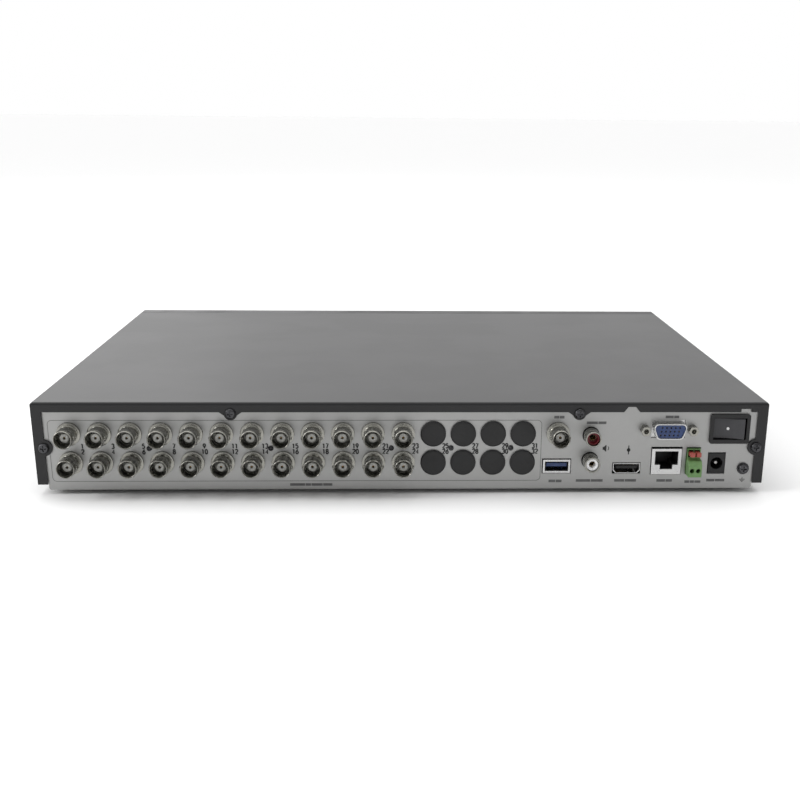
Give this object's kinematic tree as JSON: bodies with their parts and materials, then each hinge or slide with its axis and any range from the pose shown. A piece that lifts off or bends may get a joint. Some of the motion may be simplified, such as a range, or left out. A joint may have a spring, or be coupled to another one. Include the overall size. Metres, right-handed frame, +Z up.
{
  "type": "camera video recorder",
  "caption": "Low steel-cased video recorder for coaxial cameras, with a panel of bayonet sockets, data ports and a power rocker at the back and a plastic bezel at the front.",
  "frame": {"origin": "centre of the whole box in plan, on the plane the feet stand on", "axes": "+Z up; +X along the case, to the right as one faces the connector panel; the connector panel faces -Y and the bezel +Y"},
  "size_m": [0.38, 0.32, 0.049],
  "materials": {
    "zinc_steel": "galvanised, fine spangle, satin",
    "black_paint": "fine textured powder coat",
    "bezel_plastic": "moulded, fine grain",
    "smoked_plastic": "polished",
    "clear_plastic": "translucent",
    "rubber": "matt",
    "black_screw": "black zinc",
    "steel_screw": "zinc plated",
    "board_green": "solder mask",
    "brass": "plain",
    "black_plastic": "moulded",
    "nickel": "bright nickel plate",
    "ptfe": "waxy",
    "gold": "flash gold",
    "tin_plate": "bright tin",
    "red_plastic": "moulded",
    "white_plastic": "moulded",
    "blue_plastic": "moulded",
    "green_plastic": "moulded",
    "orange_plastic": "moulded",
    "chip_black": "moulded resin",
    "aluminium": "extruded, anodised clear",
    "drive_case": "die cast",
    "can_blue": "sleeve",
    "socket_red": "moulded"
  },
  "bodies": {
    "case": {"base_pan": "zinc_steel", "top_cover": "black_paint", "front_bezel": "bezel_plastic", "bezel_window": "smoked_plastic", "light_pipes": "clear_plastic", "rubber_feet": "rubber", "cover_screws": "black_screw", "panel_screws": "black_screw", "main_board": "board_green", "board_standoffs": "brass", "board_screws": "steel_screw", "bnc_housings": "black_plastic", "bnc_barrels": "nickel", "bnc_insulators": "ptfe", "bnc_contacts": "gold", "blanking_plugs": "black_plastic", "monitor_housing": "black_plastic", "monitor_barrel": "nickel", "monitor_insulator": "ptfe", "monitor_contact": "gold", "audio_housing": "black_plastic", "audio_shells": "nickel", "audio_in_insulator": "red_plastic", "audio_out_insulator": "white_plastic", "audio_contacts": "gold", "vga_shell": "tin_plate", "vga_insert": "blue_plastic", "vga_jackposts": "nickel", "video_shell": "tin_plate", "video_tongue": "black_plastic", "rear_usb_shell": "tin_plate", "rear_usb_tongue": "blue_plastic", "lan_shield": "tin_plate", "lan_insert": "black_plastic", "lan_contacts": "gold", "terminal_body": "green_plastic", "terminal_clamps": "tin_plate", "switch_housing": "black_plastic", "switch_tabs": "tin_plate", "inlet_body": "black_plastic", "inlet_pin": "steel_screw", "earth_screw": "black_screw", "processor": "chip_black", "heatsink": "aluminium", "small_chips": "chip_black", "coin_cell": "steel_screw", "cell_holder": "black_plastic", "capacitors": "can_blue", "drive_sockets": "socket_red", "disk_drives": "drive_case", "drive_screws": "steel_screw", "fan_frame": "black_plastic", "fan_screws": "steel_screw", "front_board": "board_green", "front_usb_shell": "tin_plate", "front_usb_tongue": "black_plastic"},
    "rocker": {"switch_rocker": "black_plastic"},
    "lever_left": {"terminal_lever_left": "orange_plastic"},
    "lever_right": {"terminal_lever_right": "orange_plastic"},
    "fan": {"fan_rotor": "black_plastic"}
  },
  "joints": [
    {"name": "rocker_tilt", "type": "hinge", "parent": "case", "child": "rocker", "pos_m": [0.1704, -0.1451, 0.0349], "axis": [0, 0, 1], "range_deg": [0, 24]},
    {"name": "lever_left_press", "type": "hinge", "parent": "case", "child": "lever_left", "pos_m": [0.15077, -0.1438, 0.0219], "axis": [1, 0, 0], "range_deg": [0, 12], "stiffness_Nm_per_rad": 0.01, "springref_deg": -5.73},
    {"name": "lever_right_press", "type": "hinge", "parent": "case", "child": "lever_right", "pos_m": [0.15402, -0.1438, 0.0219], "axis": [1, 0, 0], "range_deg": [0, 12], "stiffness_Nm_per_rad": 0.01, "springref_deg": -5.73},
    {"name": "fan_spin", "type": "hinge", "parent": "case", "child": "fan", "pos_m": [-0.1786, 0.0041, 0.0257], "axis": [1, 0, 0], "continuous": true}
  ]
}
